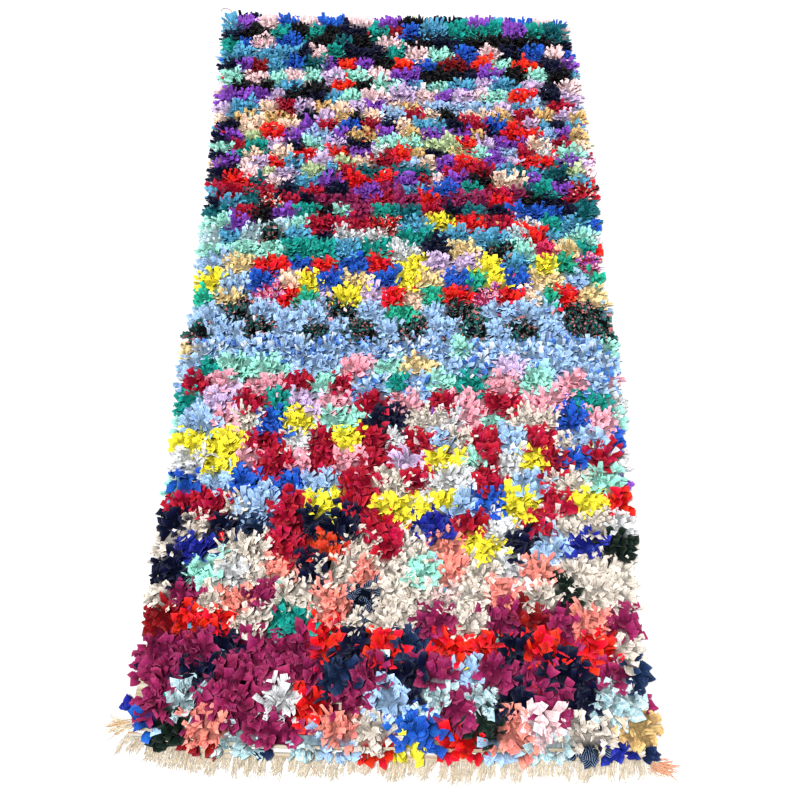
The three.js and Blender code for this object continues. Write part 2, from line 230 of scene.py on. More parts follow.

# %% [markdown]
# ## Clumps
# Several neighbouring knots carry the same rag, so the rug reads as loose bricks of colour about a
# hand's width across. The weaver comes back to a bold rag every hand or two along a row, so the bold
# clumps are given as short rows, judged one by one. Each is moved to the nearest row of a lattice,
# wanders a little by lot, and stands only where there is room, the loudest rags first. The clumps
# between them stand on the same lattice, staggered, and take a fabric of their band by lot or go on
# with the last one. A painted picture could colour the rug in one go, but rows and a lot give a rug of
# the same kind with nothing traced.

# %% List the rows of bold clumps
# Each row, in centimetres: where it lies along the rug, its first clump across, the spacing, how many.
BOLD_ROWS_CM = {
    "scarlet": [(-84, -46, 8, 2), (-87, -15, 12, 3), (-91, 21, 11, 3), (-98, -20, 9, 1), (-112, -6, 22, 2),
                (-57, 52, 9, 1), (4, -27, 14, 6), (15, -35, 14, 3), (38, 9, 21, 2), (55, -26, 9, 2)],
    "orange_red": [(92, -14, 13, 5), (82, -18, 9, 1)],
    "wine": [(-88, -53, 10, 4), (-94, -50, 14, 6), (-99, -50, 20, 5), (-80, 7, 14, 4), (-107, -25, 9, 1)],
    "navy": [(-93, -44, 40, 3), (-98, -8, 15, 4), (-58, -50, 9, 2), (-62, -21, 9, 2), (-72, -52, 32, 4),
             (-68, 27, 9, 1), (-32, -2, 9, 1), (65, -49, 47, 3), (96, -31, 9, 1)],
    "slate": [(-91, -31, 15, 4), (-92, 51, 9, 1), (-97, 21, 30, 2), (-60, -50, 18, 2), (-111, -27, 80, 2)],
    "royal": [(-66, -48, 45, 3), (-79, -27, 9, 1), (-60, 8, 9, 1), (-113, 45, 9, 1), (-103, -57, 9, 1)],
    "cobalt": [(-48, -50, 12, 3), (-45, -2, 22, 3), (-53, 21, 31, 2), (-104, -55, 57, 2), (12, -50, 16, 6)],
    "pinstripe": [(-79, -9, 9, 1), (-110, 39, 9, 1)],
    "dark_green": [(-66, -44, 9, 1), (-66, 25, 25, 2), (-108, -48, 69, 2), (-76, 37, 9, 1)],
    "teal": [(-84, -26, 64, 2), (-26, -53, 25, 5), (106, -30, 25, 4)],
    "salmon": [(-78, -35, 19, 2), (-80, 43, 9, 1), (-96, 10, 9, 1), (-105, -41, 29, 2), (-71, -45, 19, 5),
               (-64, -44, 53, 2)],
    "cream": [(-77, -21, 18, 5), (-86, -8, 57, 2), (-95, -38, 9, 1), (-105, -5, 43, 2), (-57, -38, 16, 6),
              (-48, -36, 77, 2), (-66, -26, 29, 2), (-74, -30, 24, 4)],
    "white": [(-61, -43, 11, 2), (-69, -37, 9, 1), (-65, -12, 10, 2), (-46, 28, 12, 3), (-62, 53, 9, 1),
              (-39, -52, 9, 4), (-29, -29, 9, 1), (-102, -26, 9, 1), (-72, 26, 9, 1), (20, 4, 9, 1),
              (56, -5, 45, 2)],
    "denim": [(-1, -51, 15, 7), (-5, -44, 14, 7), (-94, 16, 9, 1), (-87, -28, 9, 1),
              (-36, -10, 18, 4), (-50, -43, 24, 2), (-103, 0, 9, 1)],
    "ice": [(-103, -46, 13, 8), (-110, -33, 12, 2), (-112, 30, 9, 1), (-99, -13, 9, 1)],
    "yellow": [(-39, -51, 7, 2), (-33, -28, 9, 1), (-39, -13, 9, 1), (-43, 12, 22, 2), (-54, -18, 15, 5),
               (-64, 17, 9, 1), (-46, -45, 57, 2), (-111, 1, 9, 1), (10, -51, 26, 4), (2, -14, 45, 2),
               (14, 6, 17, 3), (31, 11, 9, 1)],
    "crimson": [(-30, -36, 15, 6), (-36, -32, 13, 7), (-42, -30, 13, 7), (-48, -40, 30, 3), (-53, -40, 15, 6),
                (-58, -25, 20, 4), (-64, -27, 24, 4), (72, 3, 35, 2), (37, -33, 30, 3)],
    "lilac": [(-28, -44, 22, 2), (-37, 15, 9, 1), (-45, 3, 9, 1), (6, 20, 9, 1), (74, -52, 9, 1)],
    "pink": [(-31, -43, 30, 4), (-26, -17, 18, 4), (-21, -34, 19, 2)],
    "purple": [(-47, 19, 34, 2), (64, -31, 13, 5), (53, 28, 22, 2), (110, -3, 27, 2), (90, -49, 33, 4)],
    "emerald": [(5, -26, 35, 2), (-2, -19, 21, 2)],
    "speckle": [(-1, -44, 30, 4), (-5, -51, 14, 8)],
    "steel": [(17, -23, 9, 1), (83, -33, 41, 2)],
    "butter": [(18, 19, 26, 2), (11, -14, 51, 2)],
    "mustard": [(-106, 50, 9, 1)],
    "tan": [(-104, -48, 9, 1), (16, 24, 9, 1), (69, -47, 13, 2), (72, 52, 9, 1), (-108, 52, 9, 1)],
    "peach": [(12, -35, 9, 1), (72, -10, 31, 2), (55, -32, 9, 1)],
    "mint": [(-74, -46, 52, 2), (-35, -16, 9, 1), (-54, 40, 9, 1), (-20, -21, 9, 1), (-12, 18, 9, 1),
             (98, 12, 9, 1), (88, -28, 9, 1)],
    "pale_pink": [(-108, 28, 9, 1), (110, -41, 14, 3), (98, 30, 19, 2), (86, -43, 38, 2)],
    "black": [(-113, 20, 9, 1), (72, -11, 26, 2), (109, -47, 14, 4), (101, -25, 32, 3), (82, -23, 9, 1)],
    "dark_red": [(-109, -43, 6, 2), (-84, -54, 84, 2), (93, -43, 60, 2)],
    "hot_pink": [(-57, -13, 9, 1)],
    "rust": [(-91, -54, 26, 2), (-65, -25, 10, 3)],
    "shirting": [(-82, 24, 9, 1)],
}
print(sum(len(rows) for rows in BOLD_ROWS_CM.values()), "rows of bold clumps")

# %% Place the bold clumps
CLUMP_WIDTH = 64 * MM
CLUMP_DEPTH = 56 * MM
CLUMP_SCALES = {
    "along": (-1.15, -0.65, -0.25, 0.10, 0.25, 0.45, 0.65, 0.85, 1.15),
    "wide": (1.05, 1.00, 0.95, 0.98, 0.88, 0.76, 0.80, 0.88, 0.88),
    "deep": (1.05, 1.00, 0.95, 0.95, 0.80, 0.62, 0.66, 0.84, 0.96),
}
ROW_WANDER = (2.2 * CM, 0.8 * CM)
BOLD_CLEARANCE = 0.66
GRIP_SPREAD = 0.2
LOUD_FABRICS = ("yellow", "speckle", "wine", "scarlet")
LOUD_GRIP = 1.04


def clump_size(along):
    """How wide and deep a clump is at a place along the rug."""
    wide = np.interp(along, CLUMP_SCALES["along"], CLUMP_SCALES["wide"])
    deep = np.interp(along, CLUMP_SCALES["along"], CLUMP_SCALES["deep"])
    return np.stack([CLUMP_WIDTH * wide, CLUMP_DEPTH * deep], axis=-1)


clump_rows = [net_along[0]]
while clump_rows[-1] < net_along[-1]:
    clump_rows.append(clump_rows[-1] + clump_size(clump_rows[-1])[1])
clump_rows = np.array(clump_rows)
clump_places = np.empty((0, 2))
clump_fabrics = []


def clump_gaps(place):
    """How far a place is from each clump that stands already, in clump sizes."""
    return np.hypot(*((clump_places - place) / clump_size(place[1])).T)


candidates = [
    (fabric, (first + every * i) * CM, along * CM)
    for fabric, rows in BOLD_ROWS_CM.items()
    for along, first, every, count in rows
    for i in range(count)
]
candidates = [candidates[i] for i in lot.permutation(len(candidates))]
candidates.sort(key=lambda candidate: candidate[0] not in LOUD_FABRICS)
for fabric, across, along in candidates:
    along = clump_rows[np.abs(clump_rows - along).argmin()]
    place = np.array([across, along]) + ROW_WANDER * lot.uniform(-1, 1, 2)
    if clump_gaps(place).min(initial=np.inf) > BOLD_CLEARANCE:
        clump_places = np.vstack([clump_places, place])
        clump_fabrics.append(fabric)
bold_count = len(clump_fabrics)
print(bold_count, "bold clumps in", len(clump_rows), "rows, and", len(candidates) - bold_count, "had no room")

# %% Fill in the clumps between them
CLUMP_DISORDER = (0.4, 0.16)
COMMON_SHARE = 0.35
GO_ON_SHARE = 0.14
NEIGHBOUR_REACH = 1.5


def draw_fabric(along, taken):
    """A fabric of the band at this place, not one beside it unless it is a common one there."""
    shares = next(band["shares"] for band in BANDS if along < band["upto"])
    total = sum(shares.values())
    free = {f: share for f, share in shares.items() if f not in taken or share > COMMON_SHARE * total}
    free = free or shares
    weights = np.array(list(free.values()), dtype=float)
    return lot.choice(list(free), p=weights / weights.sum())


for number, along in enumerate(clump_rows):
    size = clump_size(along)
    shift = 0.5 * (number % 2)
    for column in np.arange(net_across[0] / size[0] - 1, net_across[-1] / size[0] + 1):
        place = np.array([(column + shift) * size[0], along])
        place = place + CLUMP_DISORDER * lot.uniform(-1, 1, 2) * size
        away = clump_gaps(place)
        if away.min() < BOLD_CLEARANCE:
            continue
        neighbours = {clump_fabrics[i] for i in np.flatnonzero(away < NEIGHBOUR_REACH)}
        fabric = draw_fabric(place[1], neighbours)
        if lot.random() < GO_ON_SHARE:
            fabric = clump_fabrics[-1]
        clump_fabrics.append(fabric)
        clump_places = np.vstack([clump_places, place])

clump_fabrics = np.array(clump_fabrics)
clump_sizes = clump_size(clump_places[:, 1])
clump_grips = lot.lognormal(0, GRIP_SPREAD, len(clump_fabrics))
clump_grips[:bold_count] = np.where(np.isin(clump_fabrics[:bold_count], LOUD_FABRICS), LOUD_GRIP, 1.0)
print(len(clump_fabrics), "clumps in all")

# %% [markdown]
# ## Knots
# The knots lie in rows across the rug that follow its two crooked ends. Near the fringe the rags are
# broad and the knots far apart, and towards the far end they get fine and close. There the rows lie
# further apart than the knots in a row, so the strips show as tongues. Particles could scatter them,
# but rows of knots are what a weaver ties. A short table gives the sizes at places along the rug, and
# everything between is interpolated.

# %% Size the tufts along the rug
# Along in metres, width to row in millimetres, droop and dome in degrees, and shares for the rest.
TUFT_SIZES = {
    "along": (-1.15, -0.65, -0.25, 0.20, 0.50, 1.20),
    "width": (20, 16, 12.2, 10.2, 9.2, 9.2),
    "length": (36, 32, 27, 24, 24, 25),
    "pitch": (18.2, 15.8, 12.6, 10.4, 9.4, 9.4),
    "row": (18.2, 15.8, 14.2, 15.8, 16.8, 16.8),
    "droop": (26, 30, 40, 48, 50, 50),
    "sideways": (0.75, 0.75, 0.7, 0.55, 0.45, 0.45),
    "unruly": (1.0, 1.0, 0.9, 0.7, 0.55, 0.55),
    "dome": (14, 17, 24, 26, 24, 24),
    "petal": (0.42, 0.42, 0.45, 0.45, 0.45, 0.45),
    "rim": (0.75, 0.75, 0.85, 1.0, 1.0, 1.0),
    "gather": (0.92, 0.90, 0.88, 0.86, 0.85, 0.85),
}


def tuft_size(key, along):
    return np.interp(along, TUFT_SIZES["along"], TUFT_SIZES[key])


print("strips from %.0f to %.1f mm wide" % (tuft_size("width", -2), tuft_size("width", 2)))


# %% Tie the knots row by row
SELVEDGE = 5 * MM
KNOT_DISORDER = {"across": 0.35, "along": 0.3}
BARE_PLACES_CM = [
    {"across": -55, "along": -98, "wide": 2.2, "deep": 2.6},
    {"across": -56, "along": -107, "wide": 3.0, "deep": 3.2},
    {"across": -13, "along": -101, "wide": 2.6, "deep": 1.2},
    {"across": -24, "along": -110, "wide": 2.2, "deep": 1.0},
    {"across": 5, "along": -109.5, "wide": 2.0, "deep": 1.0},
]
LENGTH_OF_RUG = far_edge(0.0) - near_edge(0.0)


def spread(limit, count):
    """Numbers drawn evenly between a limit and its opposite."""
    return lot.uniform(-limit, limit, count)


knot_rows = []
way = SELVEDGE
while way < LENGTH_OF_RUG - SELVEDGE:
    along = near_edge(0.0) + way
    pitch = tuft_size("pitch", along) * MM
    across = np.arange(left_edge(along) + SELVEDGE, right_edge(along) - SELVEDGE, pitch)
    across = across + pitch * spread(KNOT_DISORDER["across"], len(across))
    row_along = near_edge(across) + way / LENGTH_OF_RUG * (far_edge(across) - near_edge(across))
    row_along = row_along + pitch * spread(KNOT_DISORDER["along"], len(across))
    knot_rows.append(np.column_stack([across, row_along]))
    way += tuft_size("row", along) * MM
knots = np.vstack(knot_rows)


def how_bare(across, along):
    """From 1 in the middle of a bare place to 0 at its border and beyond."""
    bare = np.zeros_like(across)
    for place in BARE_PLACES_CM:
        aside = (across / CM - place["across"]) / place["wide"]
        ahead = (along / CM - place["along"]) / place["deep"]
        away = np.hypot(aside, ahead)
        bare = np.maximum(bare, np.clip(1 - away, 0, 1))
    return bare


knots = knots[how_bare(*knots.T) == 0]
print(len(knots), "knots in", len(knot_rows), "rows")

# %% [markdown]
# ## From knots to strips
# Both ends of a knotted rag stand up, so every knot gives two strips, and one of a narrow rag gives
# three, to fill its place. A strip takes the fabric of the clump that it stands in, and at the border
# between two clumps it may take the other's, which makes the colours interlock. In a clump the strips
# lean outwards like petals, and along the rug's rim they lean out over the edge.

# %% Give each strip its clump
ENDS_PER_KNOT = 2
EXTRA_NARROW_ENDS = 1
NARROW = 0.75
BRICKNESS = 4
INTERLOCK = 0.022
STRAY_SHARE = 0.006
ROOT_SCATTER = 2.5 * MM
CROSSING_SHARE = 0.5


def clump_distances(places):
    """How far places are from every clump's middle, in clump sizes, so that cells come out bricky."""
    places = places.astype(np.float32)
    middles = clump_places.astype(np.float32)
    sizes = (clump_sizes * clump_grips[:, None]).astype(np.float32)
    across = np.abs(places[:, :1] - middles[:, 0]) / sizes[:, 0]
    along = np.abs(places[:, 1:] - middles[:, 1]) / sizes[:, 1]
    return (across**BRICKNESS + along**BRICKNESS) ** (1 / BRICKNESS)


end_number = np.tile(np.arange(ENDS_PER_KNOT + EXTRA_NARROW_ENDS), len(knots))
roots = np.repeat(knots, ENDS_PER_KNOT + EXTRA_NARROW_ENDS, axis=0)
roots = roots + lot.normal(0, ROOT_SCATTER, roots.shape)
apart = clump_distances(roots)
everyone = np.arange(len(roots))
first, second = np.argsort(apart, axis=1)[:, :2].T
margin = apart[everyone, second] - apart[everyone, first]
crosses = lot.random(len(roots)) < CROSSING_SHARE * np.exp(-margin / INTERLOCK)
own_clump = np.where(crosses, second, first)
strip_fabrics = clump_fabrics[own_clump]
strays = lot.random(len(roots)) < STRAY_SHARE
strip_fabrics = np.where(strays, lot.permutation(strip_fabrics), strip_fabrics)

narrowness = np.array([FABRICS[fabric].get("narrow", 1.0) for fabric in strip_fabrics])
kept = (end_number < ENDS_PER_KNOT) | (narrowness < NARROW)
roots, own_clump = roots[kept], own_clump[kept]
strip_fabrics, narrowness = strip_fabrics[kept], narrowness[kept]
print(len(roots), "strips,", int(crosses.sum()), "across a border,", int(strays.sum()), "strays")

# %% Lean each strip
RIM_REACH = 42 * MM
DISORDER = 0.55
RIM_LEAN = 2.0
NEAR_END_LEAN = 1.1
PETAL_LIMIT = 1.2

x, y = roots.T
to_side = np.minimum(x - left_edge(y), right_edge(y) - x)
to_end = np.minimum(y - near_edge(x), far_edge(x) - y)
inside = np.clip(np.minimum(to_side, to_end) / RIM_REACH, 0, 1)
out_side = np.sign(x) * RIM_LEAN * np.clip(1 - to_side / RIM_REACH, 0, 1)
out_end = np.where(y < 0, -NEAR_END_LEAN, RIM_LEAN) * np.clip(1 - to_end / RIM_REACH, 0, 1)

from_middle = (roots - clump_places[own_clump]) / (clump_sizes[own_clump] / 2)
petal = np.clip(np.hypot(*from_middle.T), 0, PETAL_LIMIT)
any_way = lot.uniform(0, 2 * np.pi, len(roots))
outwards = tuft_size("petal", y)
lean_across = outwards * from_middle[:, 0] + DISORDER * np.cos(any_way)
lean_across = tuft_size("sideways", y) * lean_across + out_side
lean_along = outwards * from_middle[:, 1] + DISORDER * np.sin(any_way) + out_end
at_far_end = np.clip(1 - (far_edge(x) - y) / RIM_REACH, 0, 1)
gather = (tuft_size("gather", y) * inside + 1 - inside)[:, None]
gathered_roots = gather * roots + (1 - gather) * clump_places[own_clump]
print("%.0f%% of the strips stand at the rim" % (100 * (inside < 1).mean()))

# %% Size each strip
ROOT_HEIGHT = 4 * MM
UPRIGHT = 85
FAR_END_GROWTH = 0.2
RIM_DROOP = 8
FAR_END_DROOP = 34
CRINKLE = 0.35
WIDTH_SPREAD = 0.24
LENGTH_SPREAD = 0.14
HEIGHT_LIMITS = (0.8, 1.2)
LIFT_SPREAD = 7
RIM_LIFT = 0.35
DOME_MIDDLE = 0.65
DROOP_SPREAD = 15
MOST_DROOP = 88
STRIP_SPREADS = {"curl": 0.45, "roll": 0.38, "twist": 0.6, "crease": 0.45, "slant": 0.4}
TIP_SHARES = (0.82, 1.15)

width = tuft_size("width", y) * MM * narrowness * lot.lognormal(0, WIDTH_SPREAD, len(roots))
length = tuft_size("length", y) * MM * lot.lognormal(0, LENGTH_SPREAD, len(roots))
length = length * np.clip(pile_height(x, y) / middling_height, *HEIGHT_LIMITS)
length = length * (1 - (1 - tuft_size("rim", y)) * (1 - inside)) * (1 + FAR_END_GROWTH * at_far_end)
lift = (UPRIGHT + lot.normal(0, LIFT_SPREAD, len(roots))) * (RIM_LIFT + (1 - RIM_LIFT) * inside)
droop = tuft_size("droop", y) + tuft_size("dome", y) * (DOME_MIDDLE - petal)
droop = droop + lot.normal(0, DROOP_SPREAD, len(roots))
rim_droop = RIM_DROOP + (FAR_END_DROOP - RIM_DROOP) * (at_far_end > 0)
droop = np.clip(droop * inside + rim_droop * (1 - inside), 0, MOST_DROOP)

unruly = tuft_size("unruly", y)
strips = {
    "root": np.column_stack([gathered_roots, np.full(len(roots), ROOT_HEIGHT)]),
    "width": width,
    "length": length,
    "turn": np.arctan2(lean_along, lean_across),
    "curl": unruly * lot.normal(0, STRIP_SPREADS["curl"], len(roots)),
    "lift": np.radians(lift),
    "droop": np.radians(droop),
    "roll": unruly * lot.normal(0, STRIP_SPREADS["roll"], len(roots)),
    "twist": unruly * lot.normal(0, STRIP_SPREADS["twist"], len(roots)),
    "wave": CRINKLE * (narrowness < NARROW),
    "crease": spread(STRIP_SPREADS["crease"], len(roots)),
    "tip": lot.uniform(*TIP_SHARES, len(roots)),
    "slant": spread(STRIP_SPREADS["slant"], len(roots)),
    "number": np.arange(len(roots), dtype=float),
}
print("strips %.0f to %.0f mm wide" % tuple(np.percentile(width, (5, 95)) / MM))

# %% [markdown]
# ## Many strips in one mesh
# Thousands of separate objects would choke Blender, so all strips of one fabric are one mesh, built
# from arrays. A strip is a closed bent blade: its middle line rises from the root and bends over, and
# at each station along it stands a small section. Broad rags have a section of four points, two edges
# with a crease between them, and fine shreds have three. Each point keeps its place on the cloth in
# millimetres, so that weave and print follow the strip however it bends.

# %% Bend the strips
SECTIONS = {
    4: {"across": (-1, 0, 1, 0), "crease": (0, 1, 0, 1), "thick": (0, 1, 0, -1)},
    3: {"across": (-1, 0.2, 1), "crease": (0, 1, 0), "thick": (0, 1.5, 0)},
}
RAG_THICKNESS = 0.7 * MM
LOWEST = 0.5 * MM
HIGHEST = 43 * MM
WAVES = 9.0
FLUTTER = 0.17
BODY_SHAPE = {"share": (0, 0.3, 1), "width": (0.6, 1, 1)}
TIP_START = 0.65


def bend_strips(group, steps, sides, flutter=FLUTTER, thickness=RAG_THICKNESS):
    """Points of a group of strips as (strip, station, side), and their places on the cloth."""
    share = np.linspace(0, 1, steps + 1)
    column = {key: value[:, None] for key, value in group.items() if key != "root"}
    lift = column["droop"] + (column["lift"] - column["droop"]) * (1 - share) ** 2
    turn = column["turn"] + column["curl"] * share**2
    turn = turn + column["wave"] * share * np.sin(WAVES * share + column["number"])
    along = np.stack([np.cos(lift) * np.cos(turn), np.cos(lift) * np.sin(turn), np.sin(lift)], axis=-1)
    side = np.stack([-np.sin(turn), np.cos(turn), np.zeros_like(turn)], axis=-1)
    upward = np.cross(along, side)
    moves = (along[:, 1:] + along[:, :-1]) / 2 * (group["length"] / steps)[:, None, None]
    travelled = np.concatenate([np.zeros_like(moves[:, :1]), moves.cumsum(axis=1)], axis=1)
    middle = group["root"][:, None, :] + travelled

    roll = (column["roll"] + column["twist"] * share)[..., None]
    across = np.cos(roll) * side + np.sin(roll) * upward
    upward = np.cos(roll) * upward - np.sin(roll) * side
    body = np.interp(share, BODY_SHAPE["share"], BODY_SHAPE["width"])
    towards_tip = np.clip((share - TIP_START) / (1 - TIP_START), 0, 1)
    half = column["width"] / 2 * (body + (column["tip"] - 1) * towards_tip)

    section = {key: np.array(value) for key, value in SECTIONS[sides].items()}
    sideways = half[..., None] * section["across"]
    raised = half[..., None] * column["crease"][..., None] * section["crease"] + thickness * section["thick"]
    raised = raised + half[..., None] * flutter * lot.normal(0, 1, raised.shape) * np.abs(section["across"])
    cut = (share == 1)[None, :, None] * sideways * column["slant"][..., None]
    points = (
        middle[:, :, None, :]
        + sideways[..., None] * across[:, :, None, :]
        + raised[..., None] * upward[:, :, None, :]
        + cut[..., None] * along[:, :, None, :]
    )
    points[..., 2] = np.clip(points[..., 2], LOWEST, HIGHEST)
    way = np.broadcast_to((column["length"] * share)[..., None], sideways.shape)
    number = np.broadcast_to(column["number"][..., None], sideways.shape)
    cloth = np.stack([sideways / MM, way / MM, number], axis=-1)
    reach = np.broadcast_to(share[None, :, None], sideways.shape)
    return points, cloth, reach


print("a strip has a section of", " or ".join(str(sides) for sides in SECTIONS), "points")

# %% Number the faces of the strips
def strip_faces(count, steps, sides):
    """Quads round and caps at both ends of each strip, as point numbers."""
    station, side = np.meshgrid(np.arange(steps), np.arange(sides), indexing="ij")
    beside = (side + 1) % sides
    here, ahead = station * sides, (station + 1) * sides
    ring = np.stack([here + side, ahead + side, ahead + beside, here + beside], axis=-1)
    first_of_strip = np.arange(count)[:, None] * (steps + 1) * sides
    quads = (first_of_strip[..., None] + ring.reshape(1, -1, 4)).reshape(-1, 4)
    caps = np.stack([np.arange(sides), steps * sides + np.arange(sides)[::-1]])
    caps = (first_of_strip[..., None] + caps[None]).reshape(-1, sides)
    return quads, caps


print("a strip of 5 steps and 4 sides has", sum(len(faces) for faces in strip_faces(1, 5, 4)), "faces")

# %% [markdown]
# ## A map for baking
# When the rug is exported, its node colours are baked into pictures, and the bake needs to know where
# each face lies on the picture. Blender could unfold the strips itself, but it knows nothing of them.
# Here every strip is simply rolled out flat and put in its own square of a chequered sheet.

# %% Roll the strips out flat
CELL_MARGIN = 0.05
CAP_BAND = 0.07
CAP_CORNERS = {3: ((0.1, 0), (0.9, 0), (0.5, 1)), 4: ((0.1, 0), (0.9, 0), (0.9, 1), (0.1, 1))}


def strip_maps(cells, row_of_cells, steps, sides):
    """Places on the bake sheet for the quads and caps of strips that stand in numbered cells."""
    station, side = np.meshgrid(np.arange(steps), np.arange(sides), indexing="ij")
    across = np.stack([side, side, side + 1, side + 1], axis=-1) / sides
    along = np.stack([station, station + 1, station + 1, station], axis=-1) / steps
    along = 2 * CAP_BAND + (1 - 4 * CAP_BAND) * along
    quads = np.stack([across, along], axis=-1).reshape(-1, 4, 2)
    root_cap = np.array(CAP_CORNERS[sides]) * (1, CAP_BAND)
    caps = np.stack([root_cap, root_cap + (0, 1 - CAP_BAND)])
    corner = np.stack([cells % row_of_cells, cells // row_of_cells], axis=-1)[:, None, None, :]
    maps = []
    for flat in (quads, caps):
        inset = CELL_MARGIN + (1 - 2 * CELL_MARGIN) * flat
        maps.append(((corner + inset[None]) / row_of_cells).reshape(-1, 2))
    return maps


print("each strip's cap takes %.0f%% of its square" % (100 * CAP_BAND))

# %% Join them into meshes
SHARP_ANGLE = 50


def mesh_from(name, parts, maps=()):
    """One mesh object from several (points, cloth, reach, quads, caps), with their bake maps if any."""
    points, cloth, reach, loops, totals = [], [], [], [], []
    used = 0
    for part_points, part_cloth, part_reach, quads, caps in parts:
        points.append(part_points.reshape(-1, 3))
        cloth.append(part_cloth.reshape(-1, 3))
        reach.append(part_reach.reshape(-1))
        for faces in (quads, caps):
            loops.append((faces + used).ravel())
            totals.append(np.full(len(faces), faces.shape[1]))
        used += points[-1].shape[0]
    points, loops, totals = np.concatenate(points), np.concatenate(loops), np.concatenate(totals)
    mesh = bpy.data.meshes.new(name)
    mesh.vertices.add(len(points))
    mesh.vertices.foreach_set("co", points.ravel())
    mesh.loops.add(len(loops))
    mesh.loops.foreach_set("vertex_index", loops)
    mesh.polygons.add(len(totals))
    mesh.polygons.foreach_set("loop_start", np.concatenate([[0], totals.cumsum()[:-1]]))
    cloth_places = mesh.attributes.new("cloth", "FLOAT_VECTOR", "POINT")
    cloth_places.data.foreach_set("vector", np.concatenate(cloth).ravel())
    reaches = mesh.attributes.new("reach", "FLOAT", "POINT")
    reaches.data.foreach_set("value", np.concatenate(reach))
    mesh.update(calc_edges=True)
    if len(maps):
        mesh.uv_layers.new(name="OFBake").uv.foreach_set("vector", np.concatenate(maps).ravel())
    mesh.shade_smooth()
    mesh.set_sharp_from_angle(angle=np.radians(SHARP_ANGLE))
    piece = bpy.data.objects.new(name, mesh)
    bpy.context.scene.collection.objects.link(piece)
    return piece


BROAD = {"from_width": 13.5 * MM, "steps": 5, "sides": 4}
MIDDLING = {"from_width": 9 * MM, "steps": 4, "sides": 3}
FINE = {"from_width": 0.0, "steps": 3, "sides": 3}


def choose_strips(group, mine):
    return {key: value[mine] for key, value in group.items()}


def strips_piece(name, groups, **options):
    """One piece from groups of strips, given as (strips, steps, sides)."""
    counts = [len(group["width"]) for group, _, _ in groups]
    row_of_cells = int(np.ceil(np.sqrt(sum(counts))))
    parts, maps = [], []
    used = 0
    for count, (group, steps, sides) in zip(counts, groups):
        parts.append((*bend_strips(group, steps, sides, **options), *strip_faces(count, steps, sides)))
        maps.extend(strip_maps(used + np.arange(count), row_of_cells, steps, sides))
        used += count
    return mesh_from(name, parts, maps)


def triangle_count(piece):
    return sum(len(polygon.vertices) - 2 for polygon in piece.data.polygons)


tufts = {}
for fabric in FABRICS:
    groups = []
    left_over = strip_fabrics == fabric
    for kind in (BROAD, MIDDLING, FINE):
        mine = left_over & (width >= kind["from_width"])
        left_over = left_over & ~mine
        if mine.any():
            groups.append((choose_strips(strips, mine), kind["steps"], kind["sides"]))
    if groups:
        tufts[fabric] = strips_piece("tufts_" + fabric, groups)
triangles = [triangle_count(piece) for piece in tufts.values()]
print(len(tufts), "pieces of tufts,", sum(triangles), "triangles, most in one:", max(triangles))

# %% [markdown]
# ## Cloth
# Every fabric is a matt cloth with a faint sheen. One function builds its nodes: a plain colour or a
# pattern, a change of tone from strip to strip, mottled fading, painted shade darkening the roots deep
# in the pile and painted light brightening the tips, paler frayed cut ends, and a bump of creases and
# weave. An image could be wrapped on each strip, but nodes give every strip its own wear. They read the
# cloth coordinates, never the camera's.

# %% Help with nodes
def linear(code):
    """A colour written as six hex digits, as the linear values that shaders take."""
    srgb = np.array([int(code[i:i + 2], 16) for i in (0, 2, 4)]) / 255
    return (*np.where(srgb < 0.04045, srgb / 12.92, ((srgb + 0.055) / 1.055) ** 2.4), 1.0)


class Nodes:
    """A small helper that adds shader nodes and links sockets."""

    def __init__(self, name):
        self.material = bpy.data.materials.new(name)
        self.material.use_nodes = True
        self.tree = self.material.node_tree
        self.shader = self.tree.nodes["Principled BSDF"]

    def add(self, kind, inputs=(), **settings):
        node = self.tree.nodes.new("ShaderNode" + kind)
        for key, value in settings.items():
            setattr(node, key, value)
        for key, value in dict(inputs).items():
            if isinstance(value, bpy.types.NodeSocket):
                self.tree.links.new(value, node.inputs[key])
            else:
                node.inputs[key].default_value = value
        return node

    def math(self, operation, a, b=0.0):
        return self.add("Math", {0: a, 1: b}, operation=operation).outputs[0]

    def ramp(self, value, low, high):
        return self.add("MapRange", {"Value": value, "To Min": low, "To Max": high}).outputs["Result"]

    def choose(self, value, colours):
        """One of several colours, in equal shares of a value from 0 to 1."""
        node = self.add("ValToRGB", {"Fac": value})
        node.color_ramp.interpolation = "CONSTANT"
        while len(node.color_ramp.elements) < len(colours):
            node.color_ramp.elements.new(1.0)
        for i, colour in enumerate(colours):
            node.color_ramp.elements[i].position = i / len(colours)
            node.color_ramp.elements[i].color = linear(colour)
        return node.outputs["Color"]

    def mix(self, share, a, b, blend="MIX"):
        node = self.add("Mix", {"Factor": share, "A": a, "B": b}, data_type="RGBA", blend_type=blend)
        return node.outputs[2]

    def finish(self, colour, bump, roughness, specular):
        """Link colour and bump to the shader, set its gloss and give the material back."""
        self.tree.links.new(colour, self.shader.inputs["Base Color"])
        self.tree.links.new(bump.outputs["Normal"], self.shader.inputs["Normal"])
        self.shader.inputs["Roughness"].default_value = roughness
        self.shader.inputs["Specular IOR Level"].default_value = specular
        return self.material


print("red cloth in linear values:", [round(float(value), 3) for value in linear("B60C34")[:3]])

# %% Draw the patterns
STRIPE_PITCH = 4.2
STRIPE_SHARE = 0.2
SQUARES = {"Scale": 0.14, "Randomness": 0.25}
PATCHES = {"Scale": 0.17, "Randomness": 1.0}


